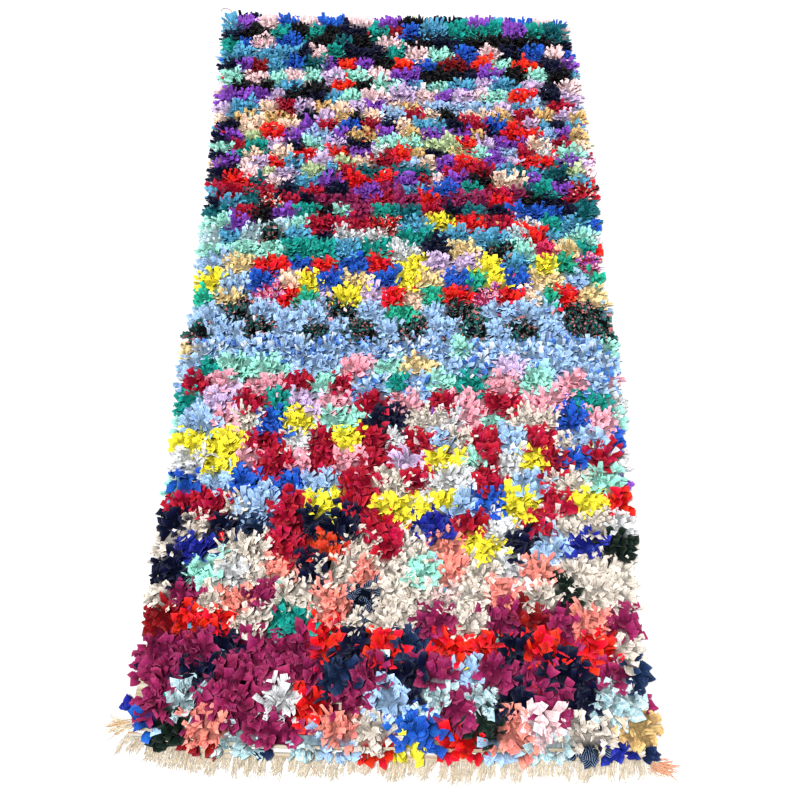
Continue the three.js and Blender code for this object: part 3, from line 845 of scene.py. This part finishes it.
def patterned_colour(nodes, spec, place, number):
    """The colour of the cloth before wear: plain, or one of the four patterns."""
    colours = [spec["colour"], *spec.get("others", [])]
    pattern = spec.get("pattern")
    across = nodes.add("SeparateXYZ", {"Vector": place}).outputs["X"]
    if pattern == "stripes":
        place_in_stripe = nodes.math("FRACT", nodes.math("MULTIPLY", across, 1 / STRIPE_PITCH))
        stripe = nodes.math("LESS_THAN", place_in_stripe, STRIPE_SHARE)
        return nodes.choose(nodes.math("MULTIPLY", stripe, 0.99), colours)
    if pattern == "squares":
        cell = nodes.add("TexVoronoi", {"Vector": place, **SQUARES}, distance="CHEBYCHEV")
        return nodes.choose(nodes.add("SeparateColor", {"Color": cell.outputs["Color"]}).outputs[0], colours)
    if pattern == "patches":
        cell = nodes.add("TexVoronoi", {"Vector": place, **PATCHES})
        return nodes.choose(nodes.add("SeparateColor", {"Color": cell.outputs["Color"]}).outputs[0], colours)
    if pattern == "strips":
        chance = nodes.add("TexWhiteNoise", {"W": number}, noise_dimensions="1D").outputs["Value"]
        return nodes.choose(chance, colours)
    return linear(spec["colour"])


patterned = [fabric for fabric, spec in FABRICS.items() if "pattern" in spec]
print(len(patterned), "patterned fabrics:", ", ".join(patterned))

# %% Build the cloth materials
# Painted shade and light: each strip's colour is darkened to 0.2 at its root, deep in the pile, and
# brightened to 1.52 at its tip, where the light falls.
PAINTED_SHADING_ROOT_TO_TIP = (0.2, 1.52)
STRIP_TONES = (0.74, 1.14)
STRIP_HUES = (0.492, 0.508)
FADING = {"Scale": 0.12, "Detail": 3.0}
FADED_TONES = (0.35, 1.65)
FRAYED_SHARE = 0.12
FRAYED_END = 9.0
PALE_KEPT = 0.55
PALE_ADDED = 0.35
CREASE_STRETCH = (0.2, 0.08, 1.0)
CREASE_DEPTH = 7 * MM
THREAD_SCALE = 0.32
THREAD_DEPTH = 0.15 * MM
THREAD_STRENGTH = 0.4
CLOTH_ROUGHNESS = 0.9
CLOTH_SPECULAR = 0.1
SHEEN = {"Sheen Weight": 0.03, "Sheen Roughness": 0.5}


def cloth_material(name, spec):
    nodes = Nodes("cloth_" + name)
    place = nodes.add("Attribute", attribute_name="cloth").outputs["Vector"]
    reach = nodes.add("Attribute", attribute_name="reach").outputs["Fac"]
    number = nodes.add("SeparateXYZ", {"Vector": place}).outputs["Z"]
    chance = nodes.add("TexWhiteNoise", {"W": nodes.math("ADD", number, 0.5)}, noise_dimensions="1D")
    fading = nodes.add("TexNoise", {"Vector": place, **FADING}).outputs["Fac"]

    colour = patterned_colour(nodes, spec, place, number)
    tone = nodes.ramp(chance.outputs["Value"], *STRIP_TONES)
    tone = nodes.math("MULTIPLY", tone, nodes.ramp(fading, *FADED_TONES))
    # Painted shade at the root and painted light at the tip, along each strip.
    tone = nodes.math("MULTIPLY", tone, nodes.ramp(reach, *spec.get("painted_shading_root_to_tip", PAINTED_SHADING_ROOT_TO_TIP)))
    second_chance = nodes.add("SeparateColor", {"Color": chance.outputs["Color"]}).outputs[1]
    hue = nodes.ramp(second_chance, *STRIP_HUES)
    colour = nodes.add("HueSaturation", {"Hue": hue, "Value": tone, "Color": colour}).outputs["Color"]
    frayed = nodes.math("MULTIPLY", nodes.math("POWER", reach, FRAYED_END), FRAYED_SHARE)
    pale = tuple(PALE_KEPT * c + PALE_ADDED for c in linear(spec["colour"])[:3]) + (1.0,)
    colour = nodes.mix(frayed, colour, pale)

    creases = nodes.add("Mapping", {"Vector": place, "Scale": CREASE_STRETCH}).outputs["Vector"]
    creases = nodes.add("TexNoise", {"Vector": creases, "Scale": 1.0, "Detail": 2.0}).outputs["Fac"]
    thread = {"Vector": place, "Scale": THREAD_SCALE}
    weft = nodes.add("TexWave", thread, bands_direction="Y").outputs["Fac"]
    warp = nodes.add("TexWave", thread, bands_direction="X").outputs["Fac"]
    weave = nodes.math("MAXIMUM", weft, warp)
    folds = nodes.add("Bump", {"Height": creases, "Distance": CREASE_DEPTH, "Strength": 1.0})
    threads = {"Height": weave, "Distance": THREAD_DEPTH, "Strength": THREAD_STRENGTH}
    bump = nodes.add("Bump", {**threads, "Normal": folds.outputs["Normal"]})
    for socket, value in SHEEN.items():
        nodes.shader.inputs[socket].default_value = value
    return nodes.finish(colour, bump, spec.get("roughness", CLOTH_ROUGHNESS), CLOTH_SPECULAR)


for fabric, piece in tufts.items():
    piece.data.materials.append(cloth_material(fabric, FABRICS[fabric]))
    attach(piece, "root")
    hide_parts("rag_pile")
print(len(tufts), "cloth materials")

# %% [markdown]
# ## The woven ground
# Under the pile lies a plain weave of undyed warp and odds and ends of weft. It shows only in small
# gaps and along the selvedges, but it is what the knots hold to. It is a thin closed sheet over the
# rug's plan, and its weft rows are drawn by nodes: each row takes one of a few colours.

# %% Weave the ground and the heading
GROUND_TOP = 5 * MM
GROUND_UNDER = 0.8 * MM
GROUND_INSET = 0.003
HEADING_DEPTH = 10 * MM
HEADING_TOP = 3.6 * MM
PIECE_GAP = 0.3 * MM
GROUND_NET = (31, 61)
HEADING_NET = (201, 4)


def closed_sheet(name, across, along, top, under):
    """A closed sheet over a net of places, one row of points for each step along it."""
    rows, columns = across.shape
    heights = [np.broadcast_to(z, across.shape) for z in (under, top)]
    layers = np.stack([np.stack([across, along, z], axis=-1) for z in heights])
    index = np.arange(2 * rows * columns).reshape(2, rows, columns)
    cells = np.stack([index[1, :-1, :-1], index[1, :-1, 1:], index[1, 1:, 1:], index[1, 1:, :-1]], axis=-1)
    cells = cells.reshape(-1, 4)
    rim = np.concatenate([index[1, 0, :-1], index[1, :-1, -1], index[1, -1, :0:-1], index[1, :0:-1, 0]])
    following = np.roll(rim, -1)
    walls = np.stack([rim - rows * columns, following - rows * columns, following, rim], axis=-1)
    quads = np.concatenate([cells, cells[:, ::-1] - rows * columns, walls])
    cloth = np.stack([layers[..., 0] / MM, layers[..., 1] / MM, np.zeros_like(layers[..., 2])], axis=-1)
    no_caps = np.empty((0, 4), dtype=int)
    return mesh_from(name, [(layers, cloth, np.zeros(layers.shape[:-1]), quads, no_caps)])


ground_shares = [np.linspace(GROUND_INSET, 1 - GROUND_INSET, count) for count in GROUND_NET]
ground = closed_sheet("ground_weave", *plan_place(*np.meshgrid(*ground_shares)), GROUND_TOP, GROUND_UNDER)
end_across = np.linspace(near_run[0, 0], near_run[-1, 0], HEADING_NET[0])
depth = np.linspace(HEADING_DEPTH, 0, HEADING_NET[1])[:, None] + PIECE_GAP
heading_places = np.tile(end_across, (HEADING_NET[1], 1)), near_edge(end_across) - depth
heading = closed_sheet("heading_weave", *heading_places, HEADING_TOP, GROUND_UNDER)
print("ground", len(ground.data.polygons), "faces, heading", len(heading.data.polygons))

# %% [markdown]
# ## The bed of knots
# Looking down between the strips one sees the knots themselves, crowded and in shade, never the floor.
# Modelling each knot would cost more triangles than the strips do. So a low lumpy sheet lies on the
# ground, dyed by the clump above each of its points and darkened with painted shade, and its nodes draw
# the knots as round bumps, with deeper painted shade between them.

# %% Lay the bed of knots
BED_NET = (61, 125)
BED_SHARE = 0.5
BED_INSET = 0.006
BED_SINK = 2 * MM
BED_LEAST = 2 * MM
BED_UNDER = GROUND_UNDER + 1 * MM

bed_shares = [np.linspace(BED_INSET, 1 - BED_INSET, count) for count in BED_NET]
bed_across, bed_along = plan_place(*np.meshgrid(*bed_shares))
bed_bare = how_bare(bed_across, bed_along)
bed_top = GROUND_TOP + BED_SHARE * pile_height(bed_across, bed_along) * (bed_bare == 0) - BED_SINK
bed_top = np.maximum(bed_top, GROUND_UNDER + BED_LEAST)
bed = closed_sheet("knot_bed", bed_across, bed_along, bed_top, BED_UNDER)
bed_clump = clump_distances(np.column_stack([bed_across.ravel(), bed_along.ravel()])).argmin(axis=1)
bed_dye = np.array([linear(FABRICS[fabric]["colour"]) for fabric in clump_fabrics[bed_clump]])
dyes = bed.data.attributes.new("dye", "FLOAT_COLOR", "POINT")
dyes.data.foreach_set("color", np.tile(bed_dye, (2, 1)).ravel())
print("bed", len(bed.data.polygons), "faces")

# %% Colour the bed
KNOT_SCALE = 0.12
KNOT_DEPTH = 4 * MM
# Painted shade: the bed's dye is darkened to 0.55 of itself in each knot's middle and to 0.2 between knots.
KNOT_PAINTED_SHADE = (0.55, 0.2)
WEAVE_ROUGHNESS = 0.95


def bed_material():
    nodes = Nodes("knotted_rags")
    dye = nodes.add("Attribute", attribute_name="dye").outputs["Color"]
    place = nodes.add("Attribute", attribute_name="cloth").outputs["Vector"]
    knots_shape = nodes.add("TexVoronoi", {"Vector": place, "Scale": KNOT_SCALE}).outputs["Distance"]
    # painted shade on the dye, darkest between the knots
    depth = nodes.ramp(knots_shape, *KNOT_PAINTED_SHADE)
    colour = nodes.add("HueSaturation", {"Value": depth, "Color": dye}).outputs["Color"]
    bump = nodes.add("Bump", {"Height": knots_shape, "Distance": KNOT_DEPTH, "Strength": 1.0}, invert=True)
    return nodes.finish(colour, bump, WEAVE_ROUGHNESS, CLOTH_SPECULAR)


bed.data.materials.append(bed_material())
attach(bed, "root")
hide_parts("rag_pile")
print("one material for the bed")

# %% Colour the weave row by row
# The ground's weft colours are a little darker than the heading's: painted shade for the gaps under the pile.
GROUND_WEFT = ["DCD0B8", "D2C2A4", "E6DCC8", "D6C8AC", "C4B096"]
HEADING_WEFT = ["E4D8BE", "D9C6A2", "EDE4D2", "DCC8AE", "C8A88C", "B0B0AE"]
GROUND_ROW = 3.4
HEADING_ROW = 2.6
ROW_WANDER_NOISE = {"Scale": 0.01, "Detail": 1.0}
ROWS_WANDERED = 6.0
WEAVE_FADING = {"Scale": 0.2, "Detail": 4.0}
WEAVE_TONES = (0.7, 1.2)
WARP_SCALE = 0.13
WARP_SHARE = 0.4
RIB_DEPTH = 1.2 * MM
RIB_STRENGTH = 0.8
WEAVE_SPECULAR = 0.2


def weave_material(name, weft_colours, row_pitch):
    nodes = Nodes(name)
    place = nodes.add("Attribute", attribute_name="cloth").outputs["Vector"]
    along = nodes.add("SeparateXYZ", {"Vector": place}).outputs["Y"]
    wander = nodes.add("TexNoise", {"Vector": place, **ROW_WANDER_NOISE}).outputs["Fac"]
    straight_row = nodes.math("MULTIPLY", along, 1 / row_pitch)
    row = nodes.math("ADD", straight_row, nodes.math("MULTIPLY", wander, ROWS_WANDERED))
    whole_row = nodes.math("FLOOR", row)
    chance = nodes.add("TexWhiteNoise", {"W": whole_row}, noise_dimensions="1D").outputs["Value"]
    fading = nodes.add("TexNoise", {"Vector": place, **WEAVE_FADING}).outputs["Fac"]
    colour = nodes.choose(chance, weft_colours)
    tone = nodes.ramp(fading, *WEAVE_TONES)
    colour = nodes.add("HueSaturation", {"Value": tone, "Color": colour}).outputs["Color"]
    rib = nodes.math("PINGPONG", row, 0.5)
    warp = nodes.add("TexWave", {"Vector": place, "Scale": WARP_SCALE}, bands_direction="X").outputs["Fac"]
    height = nodes.math("ADD", rib, nodes.math("MULTIPLY", warp, WARP_SHARE))
    bump = nodes.add("Bump", {"Height": height, "Distance": RIB_DEPTH, "Strength": RIB_STRENGTH})
    return nodes.finish(colour, bump, WEAVE_ROUGHNESS, WEAVE_SPECULAR)


ground.data.materials.append(weave_material("ground_weft", GROUND_WEFT, GROUND_ROW))
heading.data.materials.append(weave_material("heading_weft", HEADING_WEFT, HEADING_ROW))
print("two weaves")

# %% [markdown]
# ## The fringe
# At the near end the warp runs out of the heading and its ends gather in small wavy locks. Every yarn
# is a thin three-sided blade made by the same function as the rags, lying on the floor. The yarns of
# one lock share a tip, and neighbouring locks sway together. At the left corner a bundle of warp ends
# has slipped out sideways, at the right one hangs a small bunch of peach threads, and a few red
# threads have worked loose from the pile.

# %% Let the warp ends out
LOCK_PITCH = 9 * MM
YARNS_PER_LOCK = 20
FRINGE_LENGTH = 44 * MM
YARN_WIDTH = 1.8 * MM
YARN_ROOT = 2.4 * MM
YARN_REST = 0.3 * MM
FALL_SHARE = 0.45
STEEPEST_FALL = 0.9
YARN_WIDTHS = (0.7, 1.2)
YARN_WAVES = (0.2, 0.7)
YARN_TIPS = (0.4, 0.8)
YARN_CREASE = 1.4
YARN_SIDES = 3


def yarns(places, ways, lengths, curl):
    """A group of yarns lying on the floor from their places in given directions."""
    count = len(places)
    fall = np.arcsin(np.clip((YARN_ROOT - YARN_REST) / (FALL_SHARE * lengths), 0, STEEPEST_FALL))
    return {
        "root": np.column_stack([places, np.full(count, YARN_ROOT)]),
        "width": YARN_WIDTH * lot.uniform(*YARN_WIDTHS, count),
        "length": lengths,
        "turn": ways,
        "curl": curl,
        "wave": lot.uniform(*YARN_WAVES, count),
        "lift": -fall,
        "droop": np.zeros(count),
        "roll": np.zeros(count),
        "twist": np.zeros(count),
        "crease": np.full(count, YARN_CREASE),
        "tip": lot.uniform(*YARN_TIPS, count),
        "slant": np.zeros(count),
        "number": np.arange(count, dtype=float),
    }


print("yarns %.1f mm wide" % (YARN_WIDTH / MM))

# %% Gather the yarns in locks
LOCK_DISORDER = 0.25
LOCK_SPREAD = 0.6
LOCK_LENGTHS = (0.7, 1.2)
LOCK_CURL = 0.45
SWAY_STEP = 0.16
SWAY = 0.36
CORNER_REACH = 60 * MM
LEFT_SPLAY = 0.9
RIGHT_SPLAY = 0.7
YARN_LENGTHS = (0.65, 1.05)
YARN_PULL = 0.7
YARN_DISORDER = 0.08
YARN_CURL = 0.4
YARN_OVERLAP = 2 * MM
YARN_SHAPE = {"flutter": 0.0, "thickness": 0.0}
FRINGE_STEPS = 4

lock_across = np.arange(near_run[0, 0] + LOCK_PITCH / 2, near_run[-1, 0], LOCK_PITCH)
lock_across = lock_across + spread(LOCK_DISORDER, len(lock_across)) * LOCK_PITCH
sway = np.cumsum(lot.normal(0, SWAY_STEP, len(lock_across)))
sway = SWAY * np.sin(sway) + lot.normal(0, SWAY_STEP, len(lock_across))
from_left = np.clip(1 - (lock_across - near_run[0, 0]) / CORNER_REACH, 0, 1)
from_right = np.clip(1 - (near_run[-1, 0] - lock_across) / CORNER_REACH, 0, 1)
lock_way = -np.pi / 2 + sway - LEFT_SPLAY * from_left + RIGHT_SPLAY * from_right
lock_length = FRINGE_LENGTH * lot.uniform(*LOCK_LENGTHS, len(lock_across))

yarn_lock = np.repeat(np.arange(len(lock_across)), YARNS_PER_LOCK)
aside = spread(LOCK_SPREAD, len(yarn_lock)) * LOCK_PITCH
yarn_across = lock_across[yarn_lock] + aside
yarn_along = near_edge(yarn_across) - PIECE_GAP - HEADING_DEPTH + YARN_OVERLAP
yarn_length = lock_length[yarn_lock] * lot.uniform(*YARN_LENGTHS, len(yarn_lock))
yarn_way = lock_way[yarn_lock] - YARN_PULL * aside / yarn_length
yarn_way = yarn_way + lot.normal(0, YARN_DISORDER, len(yarn_lock))
yarn_curl = lot.normal(0, LOCK_CURL, len(lock_across))[yarn_lock] + lot.normal(0, YARN_CURL, len(yarn_lock))
fringe_yarns = yarns(np.column_stack([yarn_across, yarn_along]), yarn_way, yarn_length, yarn_curl)
fringe = strips_piece("fringe_yarns", [(fringe_yarns, FRINGE_STEPS, YARN_SIDES)], **YARN_SHAPE)
print(len(yarn_lock), "yarns in", len(lock_across), "locks,", triangle_count(fringe), "triangles")

# %% Add the corner bundles and the loose threads
BUNDLE_YARNS = 60
BUNDLE_SCATTER = 5 * MM
BUNDLE_FAN = 0.22
BUNDLE_LENGTHS = (0.6, 1.1)
BUNDLE_STEPS = 6
THREAD_STEPS = 14
LEFT_BUNDLE = {"from_corner": (8 * MM, 12 * MM), "way": 186, "length": 54 * MM}
RIGHT_BUNDLE = {"from_corner": (-16 * MM, -22 * MM), "way": -14, "length": 48 * MM}


def bundle(name, corner, from_corner, way, length):
    """A bundle of yarns that fans out from a place by a corner, its way in degrees."""
    places = corner + from_corner + lot.normal(0, BUNDLE_SCATTER, (BUNDLE_YARNS, 2))
    ways = np.radians(way) + lot.normal(0, BUNDLE_FAN, BUNDLE_YARNS)
    lengths = length * lot.uniform(*BUNDLE_LENGTHS, BUNDLE_YARNS)
    group = yarns(places, ways, lengths, lot.normal(0, YARN_CURL, BUNDLE_YARNS))
    return strips_piece(name, [(group, BUNDLE_STEPS, YARN_SIDES)], **YARN_SHAPE)


left_bundle = bundle("left_warp_bundle", near_run[0], **LEFT_BUNDLE)
right_bundle = bundle("right_peach_bunch", near_run[-1], **RIGHT_BUNDLE)

LOOSE_THREADS = {
    "across": (-0.530, -0.505, -0.186, 0.150, 0.310),
    "along": (1.160, 1.160, -1.105, -1.110, -1.108),
    "way": (100, 150, -80, -98, -70),
    "length": (0.095, 0.060, 0.055, 0.050, 0.040),
    "curl": (3.6, 1.2, 0.9, -0.8, 1.4),
}
thread = {key: np.array(values) for key, values in LOOSE_THREADS.items()}
thread_places = np.column_stack([thread["across"], thread["along"]])
thread_group = yarns(thread_places, np.radians(thread["way"]), thread["length"], thread["curl"])
threads = strips_piece("loose_threads", [(thread_group, THREAD_STEPS, YARN_SIDES)], **YARN_SHAPE)
print("two corner bundles and", len(thread_places), "loose threads")

# Painted shade and light on the yarns: a little darker at the root and a little lighter at the tip.
YARN_PAINTED_SHADING_ROOT_TO_TIP = (0.9, 1.04)
YARN_SPECS = {
    fringe: {"colour": "F2E8D8", "others": ["E4D6BE", "FAF4EA", "D8C6A6"]},
    left_bundle: {"colour": "F4E8D2", "others": ["E6D2B0", "FAF2E4", "D8A456"]},
    right_bundle: {"colour": "F0B48E", "others": ["EAA078", "F6CCB2"]},
    threads: {"colour": "A02C3A", "others": ["8C1E4C", "A84030"]},
}
for piece, colours in YARN_SPECS.items():
    spec = {**colours, "pattern": "strips", "painted_shading_root_to_tip": YARN_PAINTED_SHADING_ROOT_TO_TIP}
    piece.data.materials.append(cloth_material(piece.name, spec))
for piece in (ground, heading, *YARN_SPECS):
    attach(piece, "root")
for piece in (ground, threads):
    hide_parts("rag_pile")
for piece in (heading, fringe, left_bundle, right_bundle):
    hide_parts("warp_fringe")

sheet_width = (right_edge(0.0) - left_edge(0.0)).item()
sheet_length = (far_edge(0.0) - near_edge(0.0)).item()
print("the ground is a sheet of %.2f by %.2f m" % (sheet_width, sheet_length))

# %% [markdown]
# ## The stage
# The rug lies on a plain white floor. A broad soft lamp, slightly to the left, gives the strips their
# light and dark sides, and a dim white surrounding fills the shadows. Lamps close by would light one
# end more than the other, so a sun lamp with a wide angle is used. The camera stands at the fringed end
# and looks down. Its height and tilt come from the way the rug's outline narrows with distance.

# %% Lay the floor
FLOOR_SIZE = 120


def plain_material(name, colour, roughness):
    material = bpy.data.materials.new(name)
    material.use_nodes = True
    shader = material.node_tree.nodes["Principled BSDF"]
    shader.inputs["Base Color"].default_value = linear(colour)
    shader.inputs["Roughness"].default_value = roughness
    return material


bpy.ops.mesh.primitive_plane_add(size=FLOOR_SIZE)
floor = bpy.context.object
floor.name = "floor"
floor.data.materials.append(plain_material("white_floor", "FAFAFA", 0.9))
print("a floor of", FLOOR_SIZE, "m")

# %% Light it softly
SURROUNDING_STRENGTH = 0.22
LAMP_STRENGTH = 3.6
LAMP_ANGLE = 24
LAMP_WAY = (1.0, 0.7, -4.0)

world = bpy.data.worlds.new("studio")
world.use_nodes = True
world.node_tree.nodes["Background"].inputs["Color"].default_value = (1.0, 1.0, 1.0, 1.0)
world.node_tree.nodes["Background"].inputs["Strength"].default_value = SURROUNDING_STRENGTH
bpy.context.scene.world = world

lamp = bpy.data.lights.new("studio_key", "SUN")
lamp.angle = np.radians(LAMP_ANGLE)
lamp.energy = LAMP_STRENGTH
key_light = bpy.data.objects.new("studio_key", lamp)
key_light.rotation_euler = Vector(LAMP_WAY).to_track_quat("-Z", "Y").to_euler()
bpy.context.scene.collection.objects.link(key_light)
bpy.context.scene.view_settings.view_transform = "Standard"
print("one soft lamp,", LAMP_ANGLE, "degrees wide")

# %% Set up the camera
CAMERA_PLACE = (0.001, -1.517, 2.152)
CAMERA_TILT = 59.7
CAMERA_LENS = 45
CAMERA_SENSOR = 36
camera = bpy.data.objects.new("camera", bpy.data.cameras.new("camera"))
camera.data.lens = CAMERA_LENS
camera.data.sensor_width = CAMERA_SENSOR
camera.location = CAMERA_PLACE
camera.rotation_euler = (np.radians(90 - CAMERA_TILT), 0, 0)
bpy.context.scene.collection.objects.link(camera)
bpy.context.scene.camera = camera
print("a camera with a lens of", CAMERA_LENS, "mm,", CAMERA_PLACE[2], "m up")
